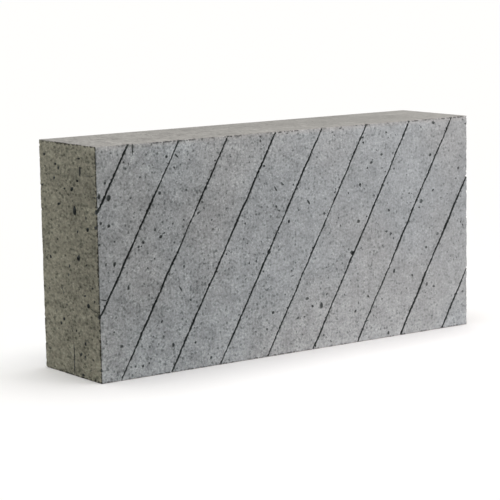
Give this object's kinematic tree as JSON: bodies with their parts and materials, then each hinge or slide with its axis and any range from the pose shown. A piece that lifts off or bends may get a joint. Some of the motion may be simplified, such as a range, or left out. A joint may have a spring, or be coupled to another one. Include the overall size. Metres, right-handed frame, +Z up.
{
  "type": "aerated concrete block",
  "caption": "Light grey aerated concrete block, wire-cut and pitted with small bubbles, with slanted key lines scored into one long face, standing on its bed.",
  "frame": {"origin": "middle of the underside (the bed the block stands on)", "axes": "+X along the 440 mm length, +Y through the 100 mm thickness away from the scored face (the scored face is at -Y), +Z up"},
  "size_m": [0.44, 0.1, 0.215],
  "materials": {
    "aerated_concrete": "matt, wire-cut and open-pored"
  },
  "bodies": {
    "root": {"block": "aerated_concrete"}
  },
  "joints": []
}
